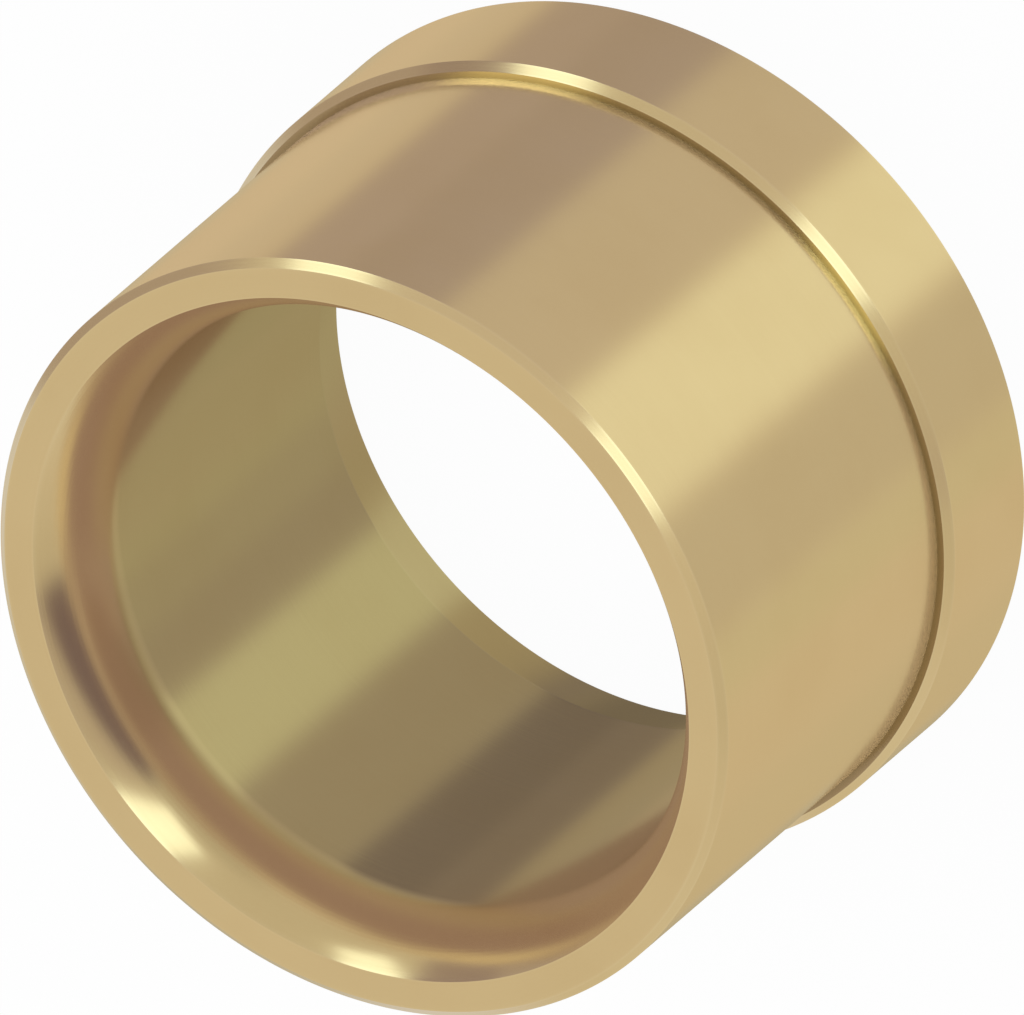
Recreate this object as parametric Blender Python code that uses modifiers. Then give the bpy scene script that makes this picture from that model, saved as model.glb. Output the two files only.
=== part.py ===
"""Press sleeve for a plastic water pipe: one turned brass ring, in metres, +Z up.

The sleeve stands on its collar. Its barrel is slid over the pipe and pressed towards a fitting,
thin end first, so the bore opens in a rounded lead-in at the top and in a short cone at the
collar. The origin is on the axis, at the collar's end face.
"""
import math

import bmesh
import bpy

# Driving dimensions
BORE_DIAMETER = 0.0327
BARREL_WALL = 0.0039
SLEEVE_LENGTH = 0.02755
COLLAR_HEIGHT = 0.00707
COLLAR_STEP = 0.00075
COLLAR_CHAMFER = 0.00039
FRONT_CHAMFER_WIDTH = 0.00041
FRONT_CHAMFER_HEIGHT = 0.00034
LEAD_IN_OPENING = 0.0019
LEAD_IN_RADIUS = 0.0076
REAR_CONE_OPENING = 0.00093
REAR_CONE_DEPTH = 0.0032

# An edge break takes no more than this share of the wall or step that it is cut in
EDGE_SHARE = 0.8

# Facets round the axis and along each arc of the profile
TURN_STEPS = 144
LEAD_IN_STEPS = 10
SHARP_ANGLE = math.radians(20)
MERGE_DISTANCE = 0.00001

# Finish of the turned brass
BRASS_COLOUR = (0.57, 0.42, 0.2, 1.0)
BRASS_ROUGHNESS = 0.28


def clear_scene():
    """Remove whatever the scene holds."""
    for item in list(bpy.data.objects):
        bpy.data.objects.remove(item, do_unlink=True)


def brass():
    """Return the one material of the sleeve."""
    material = bpy.data.materials.new("turned_brass")
    material.use_nodes = True
    shader = material.node_tree.nodes["Principled BSDF"]
    shader.inputs["Base Color"].default_value = BRASS_COLOUR
    shader.inputs["Roughness"].default_value = BRASS_ROUGHNESS
    shader.inputs["Metallic"].default_value = 1.0
    return material


def arc(centre, radius, start, end, steps):
    """Return the points of an arc from angle start to angle end, as (radius from axis, height)."""
    points = []
    for step in range(steps + 1):
        angle = start + (end - start) * step / steps
        across = centre[0] + radius * math.cos(angle)
        height = centre[1] + radius * math.sin(angle)
        points.append((across, height))
    return points


def collar_and_barrel():
    """Return the outer side of the section, from the front face down to the collar's end face."""
    barrel = BORE_DIAMETER / 2 + BARREL_WALL
    collar = barrel + COLLAR_STEP
    chamfer = min(COLLAR_CHAMFER, EDGE_SHARE * COLLAR_STEP)
    return [
        (barrel - FRONT_CHAMFER_WIDTH, SLEEVE_LENGTH),
        (barrel, SLEEVE_LENGTH - FRONT_CHAMFER_HEIGHT),
        (barrel, COLLAR_HEIGHT),
        (collar - chamfer, COLLAR_HEIGHT),
        (collar, COLLAR_HEIGHT - chamfer),
        (collar, 0.0),
    ]


def bore_and_mouths():
    """Return the inner side of the section, from the rear cone up to the rounded lead-in."""
    bore = BORE_DIAMETER / 2
    opening = min(LEAD_IN_OPENING, EDGE_SHARE * (BARREL_WALL - FRONT_CHAMFER_WIDTH))
    turn = math.acos(1 - opening / LEAD_IN_RADIUS)
    start_height = SLEEVE_LENGTH - LEAD_IN_RADIUS * math.sin(turn)
    rear = [
        (bore + REAR_CONE_OPENING, 0.0),
        (bore, REAR_CONE_DEPTH),
    ]
    centre = (bore + LEAD_IN_RADIUS, start_height)
    return rear + arc(centre, LEAD_IN_RADIUS, math.pi, math.pi - turn, LEAD_IN_STEPS)


def section_mesh():
    """Return the closed section of the wall as edges in the XZ plane."""
    mesh = bpy.data.meshes.new("press_sleeve_section")
    section = bmesh.new()
    corners = []
    for across, height in collar_and_barrel() + bore_and_mouths():
        corners.append(section.verts.new((across, 0.0, height)))
    for corner, following in zip(corners, corners[1:] + corners[:1]):
        section.edges.new((corner, following))
    section.to_mesh(mesh)
    section.free()
    return mesh


def turned(name, mesh, collection):
    """Turn a section about the Z axis into a solid, shaded smooth between its sharp edges."""
    solid = bpy.data.objects.new(name, mesh)
    collection.objects.link(solid)
    screw = solid.modifiers.new("turn", "SCREW")
    screw.axis = "Z"
    screw.angle = 2 * math.pi
    screw.steps = TURN_STEPS
    screw.render_steps = TURN_STEPS
    screw.use_merge_vertices = True
    screw.merge_threshold = MERGE_DISTANCE
    evaluated = solid.evaluated_get(bpy.context.evaluated_depsgraph_get())
    turned_mesh = bpy.data.meshes.new_from_object(evaluated)
    turned_mesh.name = name
    turned_mesh.shade_smooth()
    turned_mesh.set_sharp_from_angle(angle=SHARP_ANGLE)
    solid.modifiers.clear()
    solid.data = turned_mesh
    bpy.data.meshes.remove(mesh)
    return solid


def main():
    """Build the sleeve in a collection of its own."""
    clear_scene()
    collection = bpy.data.collections.new("press_sleeve")
    bpy.context.scene.collection.children.link(collection)
    sleeve = turned("press_sleeve", section_mesh(), collection)
    sleeve.data.materials.clear()
    sleeve.data.materials.append(brass())


if __name__ == "__main__":
    main()
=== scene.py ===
"""Looks of a turned brass press sleeve, laid out as an add-on and run as a script.

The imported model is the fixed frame. One operator turns the finished sleeve round its axis, another
sets the stage. Lengths are in metres, +Z up, and the sleeve stands on its collar at the origin.
"""

import math

import bmesh
import bpy
from bpy.props import FloatProperty, FloatVectorProperty, PointerProperty
from mathutils import Matrix, Vector


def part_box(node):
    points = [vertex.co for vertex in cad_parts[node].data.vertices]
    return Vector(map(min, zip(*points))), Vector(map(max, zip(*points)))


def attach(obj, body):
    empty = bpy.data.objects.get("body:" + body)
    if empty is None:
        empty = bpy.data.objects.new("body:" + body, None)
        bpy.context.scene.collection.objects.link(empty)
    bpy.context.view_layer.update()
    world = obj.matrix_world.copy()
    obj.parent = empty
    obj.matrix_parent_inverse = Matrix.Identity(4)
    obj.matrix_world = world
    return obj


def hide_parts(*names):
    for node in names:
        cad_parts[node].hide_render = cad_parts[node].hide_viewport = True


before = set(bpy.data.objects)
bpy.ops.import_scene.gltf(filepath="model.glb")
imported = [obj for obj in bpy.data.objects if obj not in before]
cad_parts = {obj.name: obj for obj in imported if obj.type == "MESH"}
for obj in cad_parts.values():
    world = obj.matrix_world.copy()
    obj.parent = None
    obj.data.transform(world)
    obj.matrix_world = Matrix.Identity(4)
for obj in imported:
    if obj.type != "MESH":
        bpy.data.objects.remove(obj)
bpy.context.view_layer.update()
SLEEVE_LOW, SLEEVE_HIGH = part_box("press_sleeve")

bl_info = {
    "name": "Press Sleeve",
    "version": (1, 0, 0),
    "blender": (4, 5, 0),
    "location": "3D View > Sidebar > Press Sleeve",
    "description": "Turns a brass press sleeve and sets it on a white studio floor",
    "category": "Add Mesh",
}

# The turned mesh: its facets, its edges, and how far it may miss the box of its solid
TURN_STEPS = 360
LEAD_IN_POINTS = 24
MERGE_DISTANCE = 0.000001
SHARP_ANGLE = math.radians(12)
LARGEST_SPLIT = 0.5
EDGE_ATTRIBUTE = "burnish"
LARGEST_MISFIT = 0.00005

# How the brass varies: between which noise values a change comes in, and how strong it gets
PATCH_RANGE = (0.35, 0.75)
PATCH_SHARE = 0.5
PATCH_DETAIL = 3.0
RING_RANGE = (0.3, 0.7)
RING_SHARE = 0.12
RING_DETAIL = 2.0
RING_GRAIN = 0.6
DULLING = 0.03
# Share of the painted shade: how far the brass darkens in the corner between barrel and collar
PAINTED_CORNER_SHADE_SHARE = 0.6
BURNISH_SHARE = 0.5

# Brass at a low angle: its tint, and between which facing values its grazing colour takes over
GRAZING_TINT = (0.78, 0.67, 0.52)
LOW_ANGLE = (0.5, 0.75)

# The view: a parallel projection, turned about its own line of sight
IMAGE_WIDTH = 1024
IMAGE_HEIGHT = 1015
SLEEVE_MIDDLE_X = 503.90
SLEEVE_MIDDLE_Y = 517.40
PIXELS_IN_COLLAR_RADIUS = 435.83
CAMERA_DISTANCE = 0.4
NEAREST_SEEN = 0.001

# Clear films tell the world where a reflected ray comes from. The ray passes one face under the
# bore, two faces on the step, or four where it goes down to the step and comes out again. Each
# value holds the counts between which one case gives way to the next
FILM_GAP = 0.00002
ONE_FACE = (0.5, 1.5, 0.1)
TWO_FACES = (1.4, 1.6)
FOUR_FACES = (2.9, 3.1)
SECOND_MIRROR = (1.4, 1.6)

# Where what brass sees changes, in degrees: elevations first, then azimuths. A third number is the
# softness of the other two
HORIZON = (-4.0, 0.0)
MOUTH_ELEVATIONS = (-47.3, -41.0, 0.8)
STEP_FRONT = (-152.0, 152.0, 5.0)
FOOT_FRONT = (-60.0, 95.0, 15.0)
ALL_ROUND = (-200.0, 200.0, 1.0)

# How squarely a direction has to face a card before the card is seen in it
CARD_FADE = (0.0, 0.1)

PLAIN_WHITE = (1.0, 1.0, 1.0)
FLOOR_PAINT = (0.9, 0.9, 0.9)

# Places of a Mix node's colour sockets, whose names repeat
MIX_FIRST = 6
MIX_SECOND = 7
MIX_RESULT = 2

# What brass sees of the studio. Each patch has its azimuths and their softness, its elevations and
# their softness, all in degrees, and its brightness against plain white
WALL = (0.99, 1.0, 1.04)
FRONT_WALL = (
    ((-90.0, 100.0, 20.0), (0.0, 44.0, 10.0), (0.87, 0.89, 0.9)),
    ((12.0, 90.0, 12.0), (36.0, 70.0, 6.0), (0.91, 0.92, 1.0)),
    ((-14.0, 32.0, 8.0), (-5.0, 11.0, 4.0), (0.75, 0.77, 0.77)),
    ((-170.0, -105.0, 10.0), (-20.0, 30.0, 8.0), (1.02, 1.06, 1.14)),
    ((-200.0, -145.0, 12.0), (-42.0, -6.0, 8.0), (1.12, 1.32, 2.1)),
    ((128.0, 200.0, 10.0), (-42.0, 0.0, 6.0), (1.1, 1.28, 1.9)),
)
FLOOR = (
    ((-190.0, -162.0, 6.0), (-72.0, -20.0, 6.0), (0.84, 0.95, 1.22)),
    ((-160.0, -120.0, 8.0), (-72.0, -42.0, 4.0), (0.955, 0.97, 1.0)),
    ((-120.0, -84.0, 8.0), (-72.0, -42.0, 4.0), (1.01, 1.02, 1.09)),
    ((-84.0, -66.0, 5.0), (-72.0, -42.0, 4.0), (0.95, 1.0, 1.01)),
    ((-66.0, -30.0, 5.0), (-72.0, -42.0, 4.0), (0.86, 0.88, 0.935)),
    ((14.0, 58.0, 4.0), (-72.0, -44.0, 4.0), (0.855, 0.86, 0.965)),
    ((56.5, 111.8, 3.5), (-72.0, -45.0, 3.0), (0.58, 0.555, 0.77)),
    ((88.0, 110.0, 4.0), (-70.0, -45.0, 3.0), (0.66, 0.64, 0.885)),
    ((112.0, 134.0, 5.0), (-58.0, -42.0, 4.0), (0.97, 0.975, 1.11)),
    ((134.0, 164.0, 5.0), (-58.0, -42.0, 4.0), (1.04, 1.035, 1.17)),
    ((164.0, 190.0, 6.0), (-58.0, -20.0, 6.0), (0.97, 1.08, 1.4)),
    ((104.0, 165.0, 8.0), (-69.0, -56.0, 3.5), (0.62, 0.6, 0.72)),
    ((-168.0, -118.0, 6.0), (-74.0, -56.0, 3.0), (1.03, 1.08, 1.1)),
    ((-27.0, 12.8, 4.5), (-90.0, -38.0, 6.0), (1.27, 1.39, 1.455)),
    ((-64.0, 28.0, 6.0), (-95.0, -72.0, 4.0), (1.32, 1.49, 1.59)),
)
# Changes to that floor as the bore sees it
BORE_FLOOR = (
    ((-150.0, -118.0, 5.0), (-58.0, -42.0, 4.0), (0.93, 0.963, 0.97)),
    ((-118.0, -84.0, 5.0), (-58.0, -42.0, 4.0), (0.95, 0.99, 1.02)),
    ((-72.0, -50.0, 5.0), (-58.0, -42.0, 4.0), (0.89, 0.915, 0.965)),
    ((-50.0, 52.0, 6.0), (-58.0, -42.0, 4.0), (0.82, 0.815, 0.91)),
    ((-25.3, 10.6, 4.5), (-60.0, -40.0, 4.0), (1.17, 1.31, 1.28)),
    ((57.0, 87.0, 4.0), (-60.0, -42.0, 4.0), (0.535, 0.505, 0.67)),
    ((86.0, 107.0, 4.0), (-60.0, -42.0, 4.0), (0.62, 0.595, 0.78)),
    ((110.0, 136.0, 4.0), (-58.0, -42.0, 4.0), (0.91, 0.915, 1.03)),
)
# The studio again, as brass shows it to more brass
SECOND_WALL = (0.85, 0.905, 2.14)
SECOND_LOOK = (
    (ALL_ROUND, (-95.0, -58.0, 4.0), (1.0, 1.24, 2.25)),
    (ALL_ROUND, (-56.0, -45.0, 2.5), (0.66, 0.75, 1.6)),
    ((30.0, 180.0, 10.0), (-58.0, -45.0, 2.5), (0.7, 0.79, 1.88)),
    ((-200.0, -98.0, 8.0), (-50.5, -47.0, 1.5), (0.57, 0.61, 1.18)),
    ((60.0, 120.0, 8.0), (-50.5, -47.0, 1.5), (0.64, 0.72, 1.66)),
    (ALL_ROUND, (-43.0, -25.0, 6.0), (0.98, 1.14, 2.3)),
    (ALL_ROUND, (2.0, 95.0, 8.0), (1.1, 1.3, 2.7)),
    ((8.0, 120.0, 12.0), (-4.0, 46.0, 6.0), (1.19, 1.42, 3.0)),
    ((-115.0, -20.0, 12.0), (30.0, 95.0, 10.0), (1.46, 1.84, 3.65)),
    ((-60.0, -20.0, 8.0), (0.0, 30.0, 6.0), (0.96, 1.08, 2.35)),
    ((-26.0, 30.0, 10.0), (12.0, 62.0, 9.0), (1.7, 2.12, 3.7)),
    ((90.0, 150.0, 12.0), (-40.0, 4.0, 6.0), (0.75, 0.79, 1.8)),
    ((44.0, 68.0, 5.0), (-29.0, -12.0, 4.0), (0.95, 1.07, 2.42)),
    ((70.0, 94.0, 4.0), (-19.0, -4.0, 4.0), (0.78, 0.81, 1.76)),
    ((92.0, 126.0, 5.0), (-36.0, -23.0, 3.0), (0.69, 0.78, 1.62)),
    ((35.0, 118.0, 8.0), (-44.0, -31.0, 4.0), (0.93, 1.08, 2.65)),
    ((35.0, 120.0, 12.0), (54.0, 95.0, 8.0), (0.93, 1.1, 2.36)),
    ((42.0, 160.0, 20.0), (-95.0, -58.0, 4.0), (0.55, 0.64, 1.1)),
)
# And as the corner between barrel and collar shows it
STEP_END = (0.52, 0.48, 0.5)
CORNER_WALL = (0.71, 0.8, 1.28)
CORNER_LOOK = (
    ((-32.0, 1.0, 5.0), (20.0, 80.0, 4.0), (1.85, 2.4, 2.9)),
    ((79.0, 119.0, 5.0), (20.0, 80.0, 4.0), (1.85, 2.35, 3.2)),
    ((124.0, 200.0, 8.0), (20.0, 80.0, 4.0), (0.72, 0.82, 1.7)),
    (ALL_ROUND, (-90.0, 2.0, 8.0), (1.14, 1.45, 3.08)),
)


class SleeveSizes(bpy.types.PropertyGroup):
    """Sizes of the turned section."""

    collar_diameter: FloatProperty(
        name="Collar diameter",
        description="Outside diameter of the collar",
        default=SLEEVE_HIGH.x - SLEEVE_LOW.x,
        unit="LENGTH",
    )
    length: FloatProperty(
        name="Length",
        description="Height of the sleeve as it stands on its collar",
        default=SLEEVE_HIGH.z - SLEEVE_LOW.z,
        unit="LENGTH",
    )
    bore_diameter: FloatProperty(
        name="Bore diameter",
        description="Diameter of the straight bore",
        default=0.0327,
        unit="LENGTH",
        precision=5,
    )
    barrel_wall: FloatProperty(
        name="Barrel wall",
        description="Thickness of the wall between bore and barrel",
        default=0.0039,
        unit="LENGTH",
        precision=5,
    )
    collar_height: FloatProperty(
        name="Collar height",
        description="Height of the collar up to its step",
        default=0.00707,
        unit="LENGTH",
        precision=5,
    )
    collar_chamfer: FloatProperty(
        name="Collar chamfer",
        description="Width and height of the chamfer on the collar",
        default=0.00039,
        unit="LENGTH",
        precision=5,
    )
    front_chamfer_width: FloatProperty(
        name="Front chamfer width",
        description="Width of the front chamfer across the end face",
        default=0.00041,
        unit="LENGTH",
        precision=5,
    )
    front_chamfer_height: FloatProperty(
        name="Front chamfer height",
        description="Height of the front chamfer along the barrel",
        default=0.00034,
        unit="LENGTH",
        precision=5,
    )
    lead_in_opening: FloatProperty(
        name="Lead-in opening",
        description="How far the mouth stands outside the bore",
        default=0.0019,
        unit="LENGTH",
        precision=5,
    )
    lead_in_radius: FloatProperty(
        name="Lead-in radius",
        description="Radius of the rounded lead-in",
        default=0.0076,
        unit="LENGTH",
        precision=5,
    )
    rear_cone_opening: FloatProperty(
        name="Rear cone opening",
        description="How far the rear cone opens outside the bore",
        default=0.00093,
        unit="LENGTH",
        precision=5,
    )
    rear_cone_depth: FloatProperty(
        name="Rear cone depth",
        description="Height of the rear cone",
        default=0.0032,
        unit="LENGTH",
        precision=5,
    )
    rubbed_width: FloatProperty(
        name="Rubbed width",
        description="How far the rubbed strip beside each edge reaches",
        default=0.00012,
        unit="LENGTH",
        precision=6,
    )


class SleeveFinish(bpy.types.PropertyGroup):
    """Colours and surface of the turned brass."""

    brass: FloatVectorProperty(
        name="Brass",
        description="Colour of the clean turned brass",
        default=(0.59, 0.437, 0.21),
        subtype="COLOR",
        size=3,
    )
    tarnish: FloatVectorProperty(
        name="Tarnish",
        description="Colour of the faint film between cleaner patches",
        default=(0.56, 0.407, 0.19),
        subtype="COLOR",
        size=3,
    )
    burnish: FloatVectorProperty(
        name="Burnish",
        description="Colour of the rubbed edges",
        default=(0.62, 0.47, 0.24),
        subtype="COLOR",
        size=3,
    )
    roughness: FloatProperty(
        name="Roughness",
        description="Roughness of the turned surface",
        default=0.15,
        subtype="FACTOR",
        min=0.0,
        max=1.0,
    )
    edge_roughness: FloatProperty(
        name="Edge roughness",
        description="Roughness of the rubbed edges",
        default=0.14,
        subtype="FACTOR",
        min=0.0,
        max=1.0,
    )
    ring_pitch: FloatProperty(
        name="Ring pitch",
        description="Distance between the fine rings left by the turning tool",
        default=0.00012,
        unit="LENGTH",
        precision=6,
    )
    ring_depth: FloatProperty(
        name="Ring depth",
        description="Depth of the fine rings left by the turning tool",
        default=0.0000012,
        unit="LENGTH",
        precision=6,
    )
    # Painted shade: this darker colour in the corner where the barrel meets the collar stands in for
    # the shade there; the next setting gives how far it reaches
    painted_corner_shade: FloatVectorProperty(
        name="Painted corner shade",
        description="Colour of the film that gathers where the barrel meets the collar",
        default=(0.44, 0.33, 0.15),
        subtype="COLOR",
        size=3,
    )
    corner_shade_reach: FloatProperty(
        name="Corner reach",
        description="How far that film reaches from the corner",
        default=0.0004,
        unit="LENGTH",
        precision=5,
    )
    grazing_brass: FloatVectorProperty(
        name="Grazing brass",
        description="Colour of the brass where it is seen at a low angle",
        default=(0.58, 0.427, 0.204),
        subtype="COLOR",
        size=3,
    )
    patch_size: FloatProperty(
        name="Patch size",
        description="Size of the cleaner and duller patches",
        default=0.006,
        unit="LENGTH",
    )


class StudioSettings(bpy.types.PropertyGroup):
    """The view, the floor, the lamp and the shades that brass sees."""

    view_elevation: FloatProperty(
        name="View elevation",
        description="Angle of the line of sight above the floor",
        default=math.radians(48.783),
        subtype="ANGLE",
    )
    view_roll: FloatProperty(
        name="View roll",
        description="How far the picture is turned about the line of sight",
        default=math.radians(-130.623),
        subtype="ANGLE",
    )
    floor_size: FloatProperty(
        name="Floor size",
        description="Side of the square white floor",
        default=6.0,
        unit="LENGTH",
    )
    floor_white: FloatProperty(
        name="Floor white",
        description="Share of the floor that shows plain white; the rest takes shadow",
        default=0.94,
        subtype="FACTOR",
        min=0.0,
        max=1.0,
    )
    lamp_height: FloatProperty(
        name="Lamp height",
        description="Height of the round lamp over the sleeve",
        default=0.9,
        unit="LENGTH",
    )
    lamp_diameter: FloatProperty(
        name="Lamp diameter",
        description="Diameter of the round lamp",
        default=1.2,
        unit="LENGTH",
    )
    lamp_share: FloatProperty(
        name="Lamp share",
        description="Share of the plain light that the lamp gives; the world gives the rest",
        default=0.5,
        subtype="FACTOR",
        min=0.0,
        max=1.0,
    )
    bore_shade: FloatVectorProperty(
        name="Bore shade",
        description="How much of the light comes back from the shaded floor inside the ring",
        default=(0.78, 0.75, 0.73),
        subtype="COLOR",
        size=3,
    )
    bore_loss: FloatVectorProperty(
        name="Bore loss",
        description="How much light the ring takes from the floor inside it",
        default=(0.2, 0.165, 0.2),
        subtype="COLOR",
        size=3,
    )
    corner_gain: FloatVectorProperty(
        name="Corner gain",
        description="How much brighter the foot of the barrel is than the step, toward the front",
        default=(1.28, 1.38, 1.76),
        subtype="COLOR",
        size=3,
    )
    corner_gain_behind: FloatVectorProperty(
        name="Corner gain behind",
        description="How much brighter the foot of the barrel is than the step, toward the back",
        default=(1.58, 1.72, 2.2),
        subtype="COLOR",
        size=3,
    )
    mouth_light: FloatProperty(
        name="Mouth light",
        description="Share of the bore's shade that the rounded lead-in doesn't see",
        default=0.35,
        subtype="FACTOR",
        min=0.0,
        max=1.0,
    )
    echo_distance: FloatProperty(
        name="Echo distance",
        description="How near brass has to be to block a reflection of a reflection",
        default=0.0001,
        unit="LENGTH",
        precision=6,
    )


class Tone:
    """A socket in a node tree, with arithmetic that adds Math nodes."""

    def __init__(self, nodes, socket):
        self.nodes = nodes
        self.socket = socket

    def make(self, kind, settings=None, sockets=None, output=0):
        """Add a node of a kind, set it up, fill its sockets and return one output."""
        node = self.nodes.new(kind)
        for name, value in (settings or {}).items():
            setattr(node, name, value)
        for key, value in (sockets or {}).items():
            if isinstance(value, Tone):
                self.nodes.id_data.links.new(value.socket, node.inputs[key])
            else:
                node.inputs[key].default_value = value
        return Tone(self.nodes, node.outputs[output])

    def output(self, name):
        """Return another output of this socket's node."""
        return Tone(self.nodes, self.socket.node.outputs[name])

    def math(self, operation, first, second=0.0):
        """Return one Math node's result."""
        return self.make("ShaderNodeMath", {"operation": operation}, {0: first, 1: second})

    def __add__(self, other):
        return self.math("ADD", self, other)

    def __radd__(self, other):
        return self.math("ADD", other, self)

    def __sub__(self, other):
        return self.math("SUBTRACT", self, other)

    def __rsub__(self, other):
        return self.math("SUBTRACT", other, self)

    def __mul__(self, other):
        return self.math("MULTIPLY", self, other)

    def __rmul__(self, other):
        return self.math("MULTIPLY", other, self)

    def ramp(self, low, high):
        """Return 0 below low, 1 above high and a smooth step between."""
        sockets = {"Value": self, "From Min": low, "From Max": high}
        return self.make("ShaderNodeMapRange", {"interpolation_type": "SMOOTHSTEP"}, sockets)

    def within(self, low, high, soft):
        """Return 1 between low and high and 0 outside, with soft edges."""
        rises = self.ramp(low - soft, low + soft)
        falls = self.ramp(high - soft, high + soft)
        return rises * (1.0 - falls)

    def dot(self, direction):
        """Return the dot product of this vector and a fixed direction."""
        sockets = {0: self, 1: tuple(direction)}
        return self.make("ShaderNodeVectorMath", {"operation": "DOT_PRODUCT"}, sockets, "Value")

    def blend(self, first, second):
        """Mix two colours by this factor."""
        sockets = {"Factor": self, MIX_FIRST: opaque(first), MIX_SECOND: opaque(second)}
        return self.make("ShaderNodeMix", {"data_type": "RGBA"}, sockets, MIX_RESULT)

    def worked(self, operation, colour):
        """Work another colour into this one, such as by multiplying them."""
        settings = {"data_type": "RGBA", "blend_type": operation}
        sockets = {"Factor": 1.0, MIX_FIRST: self, MIX_SECOND: opaque(colour)}
        return self.make("ShaderNodeMix", settings, sockets, MIX_RESULT)

    def choose(self, first, second):
        """Mix two shaders by this factor."""
        return self.make("ShaderNodeMixShader", None, {0: self, 1: first, 2: second})


def opaque(colour):
    """Give a plain colour its alpha, and leave a socket as it is."""
    if isinstance(colour, Tone):
        return colour
    return (colour[0], colour[1], colour[2], 1.0)


def node_tree(owner):
    """Empty a material's or a world's node tree and return its nodes."""
    owner.use_nodes = True
    owner.node_tree.nodes.clear()
    return owner.node_tree.nodes


def first_tone(nodes, kind, output=0):
    """Start an expression from a new node's output."""
    return Tone(nodes, None).make(kind, output=output)


def finish_tree(nodes, kind, surface):
    """Join a shader to the tree's output."""
    end = nodes.new(kind)
    nodes.id_data.links.new(surface.socket, end.inputs["Surface"])


def section_corners(sizes):
    """Return the section's corners as (radius, height, sharp), from the front face round."""
    bore = sizes.bore_diameter / 2
    barrel = bore + sizes.barrel_wall
    collar = sizes.collar_diameter / 2
    chamfer = sizes.collar_chamfer
    corners = [
        (barrel - sizes.front_chamfer_width, sizes.length, True),
        (barrel, sizes.length - sizes.front_chamfer_height, True),
        (barrel, sizes.collar_height, False),
        (collar - chamfer, sizes.collar_height, True),
        (collar, sizes.collar_height - chamfer, True),
        (collar, 0.0, True),
        (bore + sizes.rear_cone_opening, 0.0, True),
        (bore, sizes.rear_cone_depth, True),
    ]
    turn = math.acos(1 - sizes.lead_in_opening / sizes.lead_in_radius)
    start_height = sizes.length - sizes.lead_in_radius * math.sin(turn)
    centre = (bore + sizes.lead_in_radius, start_height)
    lead_in = arc(centre, sizes.lead_in_radius, math.pi, math.pi - turn, LEAD_IN_POINTS)
    mouth = (bore + sizes.lead_in_opening, sizes.length, True)
    return corners + lead_in[:-1] + [mouth]


def arc(centre, radius, start, end, steps):
    """Return smooth section points along an arc."""
    points = []
    for step in range(steps + 1):
        angle = start + (end - start) * step / steps
        across = centre[0] + radius * math.cos(angle)
        height = centre[1] + radius * math.sin(angle)
        points.append((across, height, False))
    return points


def rubbed_strips(corners, reach):
    """Split both edges of each sharp corner, so that the rubbed strip beside it stays narrow."""
    for corner in corners:
        for edge in list(corner.link_edges):
            share = reach / edge.calc_length()
            if share < LARGEST_SPLIT:
                bmesh.utils.edge_split(edge, corner, share)


def turned_section(sizes):
    """Turn the section round the axis, and mark its sharp edges as rubbed."""
    work = bmesh.new()
    burnish = work.verts.layers.float.new(EDGE_ATTRIBUTE)
    points = []
    sharp = []
    for across, height, is_sharp in section_corners(sizes):
        point = work.verts.new((across, 0.0, height))
        points.append(point)
        if is_sharp:
            sharp.append(point)
    for point, following in zip(points, points[1:] + points[:1]):
        work.edges.new((point, following))
    rubbed_strips(sharp, sizes.rubbed_width)
    for point in work.verts:
        point[burnish] = 0.0
    for corner in sharp:
        corner[burnish] = 1.0
    turn_round(work)
    return work


def turn_round(work):
    """Turn a section once round the axis into a closed shape with its faces outwards."""
    bmesh.ops.spin(
        work,
        geom=work.verts[:] + work.edges[:],
        cent=(0.0, 0.0, 0.0),
        axis=(0.0, 0.0, 1.0),
        angle=2 * math.pi,
        steps=TURN_STEPS,
        use_merge=True,
    )
    bmesh.ops.remove_doubles(work, verts=work.verts[:], dist=MERGE_DISTANCE)
    bmesh.ops.recalc_face_normals(work, faces=work.faces[:])


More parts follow.
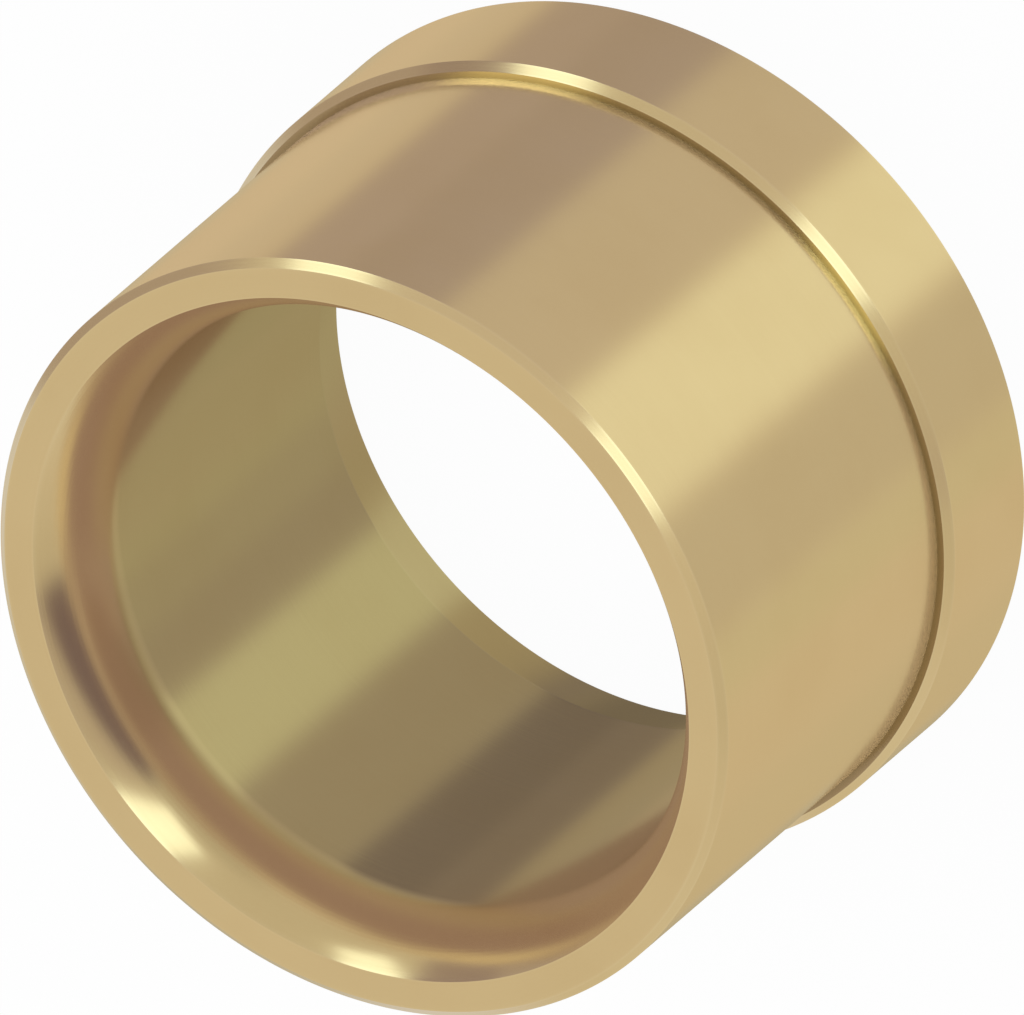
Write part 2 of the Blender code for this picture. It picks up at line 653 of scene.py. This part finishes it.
def turned_brass(sizes, finish):
    """Return the brass: fine turning rings, faint patches, rubbed edges and painted shade in the
    corner.
    """
    material = bpy.data.materials.new("turned_brass")
    nodes = node_tree(material)
    place = first_tone(nodes, "ShaderNodeTexCoord", "Object")
    parts = place.make("ShaderNodeSeparateXYZ", None, {"Vector": place})
    across = parts.output("X")
    along = parts.output("Y")
    height = parts.output("Z")
    radius = place.math("SQRT", across * across + along * along)

    rings = place.make(
        "ShaderNodeTexNoise",
        {"noise_dimensions": "2D"},
        {
            "Vector": place.make("ShaderNodeCombineXYZ", None, {"X": radius, "Y": height}),
            "Scale": 1.0 / finish.ring_pitch,
            "Detail": RING_DETAIL,
            "Roughness": RING_GRAIN,
        },
    )
    patches = place.make(
        "ShaderNodeTexNoise",
        None,
        {"Vector": place, "Scale": 1.0 / finish.patch_size, "Detail": PATCH_DETAIL},
    )
    rubbed = place.make("ShaderNodeAttribute", {"attribute_name": EDGE_ATTRIBUTE}, None, "Fac")
    # Painted shade: the colour darkens toward the corner where the barrel meets the collar
    beside = radius - (sizes.bore_diameter / 2 + sizes.barrel_wall)
    over = height - sizes.collar_height
    from_corner = place.math("SQRT", beside * beside + over * over)
    corner_shaded = 1.0 - from_corner.ramp(0.0, finish.corner_shade_reach)

    film = patches.ramp(*PATCH_RANGE) * PATCH_SHARE + rings.ramp(*RING_RANGE) * RING_SHARE
    tarnish_and_corner_shade = film.blend(finish.brass, finish.tarnish)
    tarnish_and_corner_shade = (corner_shaded * PAINTED_CORNER_SHADE_SHARE).blend(tarnish_and_corner_shade, finish.painted_corner_shade)
    colour = (rubbed * BURNISH_SHARE).blend(tarnish_and_corner_shade, finish.burnish)
    dull = finish.roughness + DULLING * patches + DULLING * rings
    roughness = dull * (1.0 - rubbed) + finish.edge_roughness * rubbed
    bump = place.make(
        "ShaderNodeBump",
        None,
        {"Height": rings, "Distance": finish.ring_depth, "Strength": 1.0},
    )
    shader = place.make(
        "ShaderNodeBsdfPrincipled",
        None,
        {
            "Base Color": colour,
            "Roughness": roughness,
            "Metallic": 1.0,
            "Specular Tint": opaque(GRAZING_TINT),
            "Normal": bump,
        },
    )
    mirror = place.make(
        "ShaderNodeBsdfGlossy",
        None,
        {"Color": opaque(finish.grazing_brass), "Roughness": roughness, "Normal": bump},
    )
    turned_away = place.make("ShaderNodeLayerWeight", None, None, "Facing")
    low_angle = turned_away.ramp(*LOW_ANGLE)
    finish_tree(nodes, "ShaderNodeOutputMaterial", low_angle.choose(shader, mirror))
    return material


class PRESS_SLEEVE_OT_turn_sleeve(bpy.types.Operator):
    """Turn the sleeve from its section and give it the brass finish."""

    bl_idname = "press_sleeve.turn_sleeve"
    bl_label = "Turn sleeve"

    def execute(self, context):
        sizes = context.scene.sleeve_sizes
        mesh = bpy.data.meshes.new("turned_sleeve")
        work = turned_section(sizes)
        work.to_mesh(mesh)
        work.free()
        mesh.shade_smooth()
        mesh.set_sharp_from_angle(angle=SHARP_ANGLE)
        mesh.materials.append(turned_brass(sizes, context.scene.sleeve_finish))
        sleeve = bpy.data.objects.new("turned_sleeve", mesh)
        context.scene.collection.objects.link(sleeve)
        check_fit(sleeve)
        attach(sleeve, "root")
        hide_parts("press_sleeve")
        return {"FINISHED"}


def check_fit(sleeve):
    """Raise an error if the turned sleeve doesn't fill the box of the solid that it stands for."""
    corners = [Vector(corner) for corner in sleeve.bound_box]
    for axis in range(3):
        low = min(corner[axis] for corner in corners)
        high = max(corner[axis] for corner in corners)
        misfit = max(abs(low - SLEEVE_LOW[axis]), abs(high - SLEEVE_HIGH[axis]))
        if misfit > LARGEST_MISFIT:
            raise RuntimeError(f"the turned sleeve misses its solid by {misfit} m on axis {axis}")


def plane(name, size, height):
    """Return a level square centred on the axis."""
    work = bmesh.new()
    bmesh.ops.create_grid(work, x_segments=1, y_segments=1, size=size / 2)
    bmesh.ops.translate(work, verts=work.verts[:], vec=(0.0, 0.0, height))
    return stage_object(name, work)


def washer(name, inner, outer, low, high):
    """Return a flat ring round the axis, closed all round."""
    work = bmesh.new()
    corners = []
    for across, height in ((inner, low), (outer, low), (outer, high), (inner, high)):
        corners.append(work.verts.new((across, 0.0, height)))
    for corner, following in zip(corners, corners[1:] + corners[:1]):
        work.edges.new((corner, following))
    turn_round(work)
    return stage_object(name, work)


def disc(name, radius, height):
    """Return a level disc centred on the axis."""
    work = bmesh.new()
    bmesh.ops.create_circle(work, cap_ends=True, segments=TURN_STEPS, radius=radius)
    bmesh.ops.translate(work, verts=work.verts[:], vec=(0.0, 0.0, height))
    return stage_object(name, work)


def stage_object(name, work):
    """Turn a bmesh into an object of the stage."""
    mesh = bpy.data.meshes.new(name)
    work.to_mesh(mesh)
    work.free()
    item = bpy.data.objects.new(name, mesh)
    bpy.context.scene.collection.objects.link(item)
    return item


def floor_white(studio):
    """Return the floor's white, which still takes a share of the sleeve's shadow."""
    material = bpy.data.materials.new("floor_white")
    nodes = node_tree(material)
    camera = first_tone(nodes, "ShaderNodeLightPath", "Is Camera Ray")
    seen = camera + camera.output("Is Glossy Ray") + camera.output("Is Transmission Ray")
    shown = seen * studio.floor_white
    paint = camera.make("ShaderNodeBsdfDiffuse", None, {"Color": opaque(FLOOR_PAINT)})
    glow = camera.make("ShaderNodeEmission", None, {"Color": opaque(PLAIN_WHITE)})
    finish_tree(nodes, "ShaderNodeOutputMaterial", shown.choose(paint, glow))
    return material


def clear_film():
    """Return the clear film that marks the light which passes through it."""
    material = bpy.data.materials.new("clear_film")
    nodes = node_tree(material)
    start = first_tone(nodes, "ShaderNodeBsdfTransparent")
    finish_tree(nodes, "ShaderNodeOutputMaterial", start)
    return material


def add_films(sizes):
    """Lay clear films under the bore and on the step, which only reflected light meets."""
    mouth = sizes.bore_diameter / 2 + sizes.rear_cone_opening
    barrel = sizes.bore_diameter / 2 + sizes.barrel_wall
    step = sizes.collar_height + FILM_GAP
    collar = sizes.collar_diameter / 2
    films = (
        disc("bore_film", mouth, -FILM_GAP),
        washer("step_film", barrel + MERGE_DISTANCE, collar, step, step + FILM_GAP),
    )
    material = clear_film()
    for film in films:
        film.data.materials.append(material)
        film.visible_camera = False
        film.visible_diffuse = False
        film.visible_shadow = False


def toward(azimuth, elevation):
    """Return the direction at an azimuth from the front, to the right, and an elevation."""
    level = math.cos(elevation)
    return Vector((level * math.sin(azimuth), -level * math.cos(azimuth), math.sin(elevation)))


class Card:
    """A soft-edged rectangle of light or shade, far away, that only metal sees."""

    def __init__(self, azimuth, elevation, lean, width, height, soft, radiance):
        self.away = toward(math.radians(azimuth), math.radians(elevation))
        level = Vector((0.0, 0.0, 1.0)).cross(self.away).normalized()
        upward = self.away.cross(level)
        turn = math.radians(lean)
        self.side = level * math.cos(turn) + upward * math.sin(turn)
        self.up = upward * math.cos(turn) - level * math.sin(turn)
        self.half_width = math.tan(math.radians(width / 2))
        self.half_height = math.tan(math.radians(height / 2))
        self.soft = math.tan(math.radians(soft))
        self.radiance = radiance

    def hang(self, facing, seen):
        """Lay this card over what is seen in a direction."""
        depth = facing.dot(self.away)
        across = facing.math("DIVIDE", facing.dot(self.side), depth)
        along = facing.math("DIVIDE", facing.dot(self.up), depth)
        share = across.within(-self.half_width, self.half_width, self.soft)
        share = share * along.within(-self.half_height, self.half_height, self.soft)
        share = share * depth.ramp(*CARD_FADE)
        return share.blend(seen, self.radiance)


# Each card's azimuth, elevation, lean, width, height and softness in degrees, and its brightness
CARDS = (
    Card(-39.0, 23.0, -10.0, 54.0, 22.0, 6.0, (0.76, 0.75, 0.82)),
    Card(-38.5, 8.2, -9.0, 59.0, 21.7, 5.0, (0.28, 0.235, 0.35)),
    Card(118.0, 12.5, 0.0, 64.0, 30.0, 4.0, (0.65, 0.615, 0.73)),
    Card(93.0, 14.0, 0.0, 20.0, 22.0, 2.0, (0.5, 0.45, 0.58)),
    Card(-2.4, 37.4, 24.0, 17.5, 49.6, 1.2, (2.0, 2.4, 2.75)),
    Card(79.7, 33.0, -34.0, 16.0, 47.6, 1.2, (2.0, 2.4, 2.75)),
)


class Ray:
    """The ray that reaches the world: where it points, and what it has met on its way."""

    def __init__(self, nodes):
        self.facing = first_tone(nodes, "ShaderNodeTexCoord", "Generated")
        parts = self.facing.make("ShaderNodeSeparateXYZ", None, {"Vector": self.facing})
        azimuth = parts.math("ARCTAN2", parts.output("X"), -1.0 * parts.output("Y"))
        elevation = parts.math("ARCSINE", parts.output("Z"))
        self.around = azimuth * math.degrees(1.0)
        self.above = elevation * math.degrees(1.0)
        self.glossy = first_tone(nodes, "ShaderNodeLightPath", "Is Glossy Ray")
        self.diffuse = self.glossy.output("Is Diffuse Ray")
        self.echoed = self.glossy.output("Glossy Depth").ramp(*SECOND_MIRROR)
        self.films = self.glossy.output("Transparent Depth")
        self.on_step = self.films.ramp(*TWO_FACES)


def laid(patches, ray, seen):
    """Lay soft-edged patches over what is seen, by azimuth and elevation."""
    for azimuths, elevations, colour in patches:
        share = ray.around.within(*azimuths) * ray.above.within(*elevations)
        seen = share.blend(seen, colour)
    return seen


def direct_look(studio, ray):
    """Return what brass mirrors directly: walls, lamps, flags and the floor."""
    seen = laid(FRONT_WALL, ray, WALL)
    for card in CARDS:
        seen = card.hang(ray.facing, seen)
    seen = laid(FLOOR, ray, seen)
    bore_floor = laid(BORE_FLOOR, ray, seen).worked("MULTIPLY", studio.bore_shade)
    bore_floor = bore_floor.worked("SUBTRACT", studio.bore_loss)
    in_bore = ray.films.within(*ONE_FACE) * (1.0 - ray.above.ramp(*HORIZON))
    in_mouth = ray.above.within(*MOUTH_ELEVATIONS)
    seen = (in_bore * (1.0 - in_mouth * studio.mouth_light)).blend(seen, bore_floor)
    behind = 1.0 - ray.around.within(*STEP_FRONT)
    return (ray.on_step * behind).blend(seen, STEP_END)


def corner_look(studio, ray):
    """Return what the corner between barrel and collar shows, brighter at the barrel's foot."""
    seen = laid(CORNER_LOOK, ray, CORNER_WALL)
    in_front = ray.around.within(*FOOT_FRONT)
    gain = in_front.blend(studio.corner_gain_behind, studio.corner_gain)
    return ray.films.ramp(*FOUR_FACES).blend(seen, seen.worked("MULTIPLY", gain))


def studio_world(studio):
    """Return a white world in which brass also sees the studio's lamps, flags and pale floor."""
    world = bpy.data.worlds.new("studio")
    nodes = node_tree(world)
    ray = Ray(nodes)
    direct = backdrop(nodes, direct_look(studio, ray))
    second = backdrop(nodes, laid(SECOND_LOOK, ray, SECOND_WALL))
    corner = backdrop(nodes, corner_look(studio, ray))
    seen = ray.echoed.choose(direct, ray.on_step.choose(second, corner))
    plain = backdrop(nodes, PLAIN_WHITE, 1.0 - studio.lamp_share * ray.diffuse)
    finish_tree(nodes, "ShaderNodeOutputWorld", ray.glossy.choose(plain, seen))
    world.light_settings.distance = studio.echo_distance
    world.cycles.sampling_method = "NONE"
    return world


def backdrop(nodes, colour, strength=1.0):
    """Return a backdrop of a colour."""
    sockets = {"Color": opaque(colour), "Strength": strength}
    return Tone(nodes, None).make("ShaderNodeBackground", None, sockets)


def add_lamp(studio):
    """Hang the round lamp over the sleeve, where brass doesn't mirror it."""
    radius = studio.lamp_diameter / 2
    share_of_sky = radius**2 / (radius**2 + studio.lamp_height**2)
    brightness = studio.lamp_share / share_of_sky
    area = math.pi * radius**2
    lamp = bpy.data.lights.new("round_lamp", "AREA")
    lamp.shape = "DISK"
    lamp.size = studio.lamp_diameter
    lamp.energy = brightness * math.pi * area
    item = bpy.data.objects.new("round_lamp", lamp)
    item.location = (0.0, 0.0, studio.lamp_height)
    item.visible_glossy = False
    item.visible_camera = False
    bpy.context.scene.collection.objects.link(item)


def add_camera(studio, sizes):
    """Set the camera at the picture's angle, roll and scale."""
    radius = sizes.collar_diameter / 2
    back = toward(0.0, studio.view_elevation)
    side = Vector((1.0, 0.0, 0.0))
    up = back.cross(side)
    cos_roll = math.cos(studio.view_roll)
    sin_roll = math.sin(studio.view_roll)
    picture_right = cos_roll * side + sin_roll * up
    picture_up = cos_roll * up - sin_roll * side
    pixel = radius / PIXELS_IN_COLLAR_RADIUS
    offset_x = (SLEEVE_MIDDLE_X - IMAGE_WIDTH / 2) * pixel
    offset_y = (SLEEVE_MIDDLE_Y - IMAGE_HEIGHT / 2) * pixel
    middle = Vector((0.0, 0.0, sizes.length / 2))
    place = middle - picture_right * offset_x + picture_up * offset_y + back * CAMERA_DISTANCE
    data = bpy.data.cameras.new("camera")
    data.type = "ORTHO"
    data.ortho_scale = IMAGE_WIDTH * pixel
    data.clip_start = NEAREST_SEEN
    camera = bpy.data.objects.new("camera", data)
    axes = Matrix((picture_right, picture_up, back)).transposed()
    camera.matrix_world = Matrix.Translation(place) @ axes.to_4x4()
    bpy.context.scene.collection.objects.link(camera)
    bpy.context.scene.camera = camera


class PRESS_SLEEVE_OT_set_stage(bpy.types.Operator):
    """Lay the white floor and the clear films, hang the lamp, set the world and the camera."""

    bl_idname = "press_sleeve.set_stage"
    bl_label = "Set stage"

    def execute(self, context):
        scene = context.scene
        studio = scene.studio_settings
        sizes = scene.sleeve_sizes
        add_camera(studio, sizes)
        floor = plane("floor", studio.floor_size, 0.0)
        floor.data.materials.append(floor_white(studio))
        floor.visible_glossy = False
        add_films(sizes)
        add_lamp(studio)
        scene.world = studio_world(studio)
        # A reflection of a reflection is looked up in the world and isn't traced any further
        scene.cycles.use_fast_gi = True
        scene.cycles.fast_gi_method = "REPLACE"
        scene.cycles.ao_bounces_render = 1
        scene.view_settings.view_transform = "Standard"
        return {"FINISHED"}


class PRESS_SLEEVE_PT_panel(bpy.types.Panel):
    """The sidebar panel, which lists the operators and their settings."""

    bl_idname = "PRESS_SLEEVE_PT_panel"
    bl_label = "Press Sleeve"
    bl_space_type = "VIEW_3D"
    bl_region_type = "UI"
    bl_category = "Press Sleeve"

    def draw(self, context):
        layout = self.layout
        for operator in OPERATORS:
            layout.operator(operator.bl_idname)
        for group_name in GROUPS:
            group = getattr(context.scene, group_name)
            box = layout.box()
            box.label(text=group_name.replace("_", " ").capitalize())
            for name in group.__annotations__:
                box.prop(group, name)


GROUPS = {
    "sleeve_sizes": SleeveSizes,
    "sleeve_finish": SleeveFinish,
    "studio_settings": StudioSettings,
}
OPERATORS = (PRESS_SLEEVE_OT_turn_sleeve, PRESS_SLEEVE_OT_set_stage)


def register():
    """Register the classes and hang the settings on the scene."""
    for name, group in GROUPS.items():
        bpy.utils.register_class(group)
        setattr(bpy.types.Scene, name, PointerProperty(type=group))
    for operator in OPERATORS:
        bpy.utils.register_class(operator)
    bpy.utils.register_class(PRESS_SLEEVE_PT_panel)


def unregister():
    """Take the classes and the settings off again."""
    bpy.utils.unregister_class(PRESS_SLEEVE_PT_panel)
    for operator in reversed(OPERATORS):
        bpy.utils.unregister_class(operator)
    for name, group in reversed(GROUPS.items()):
        delattr(bpy.types.Scene, name)
        bpy.utils.unregister_class(group)


def main():
    """Register the add-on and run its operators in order."""
    register()
    bpy.ops.press_sleeve.turn_sleeve()
    bpy.ops.press_sleeve.set_stage()


if __name__ == "__main__":
    main()
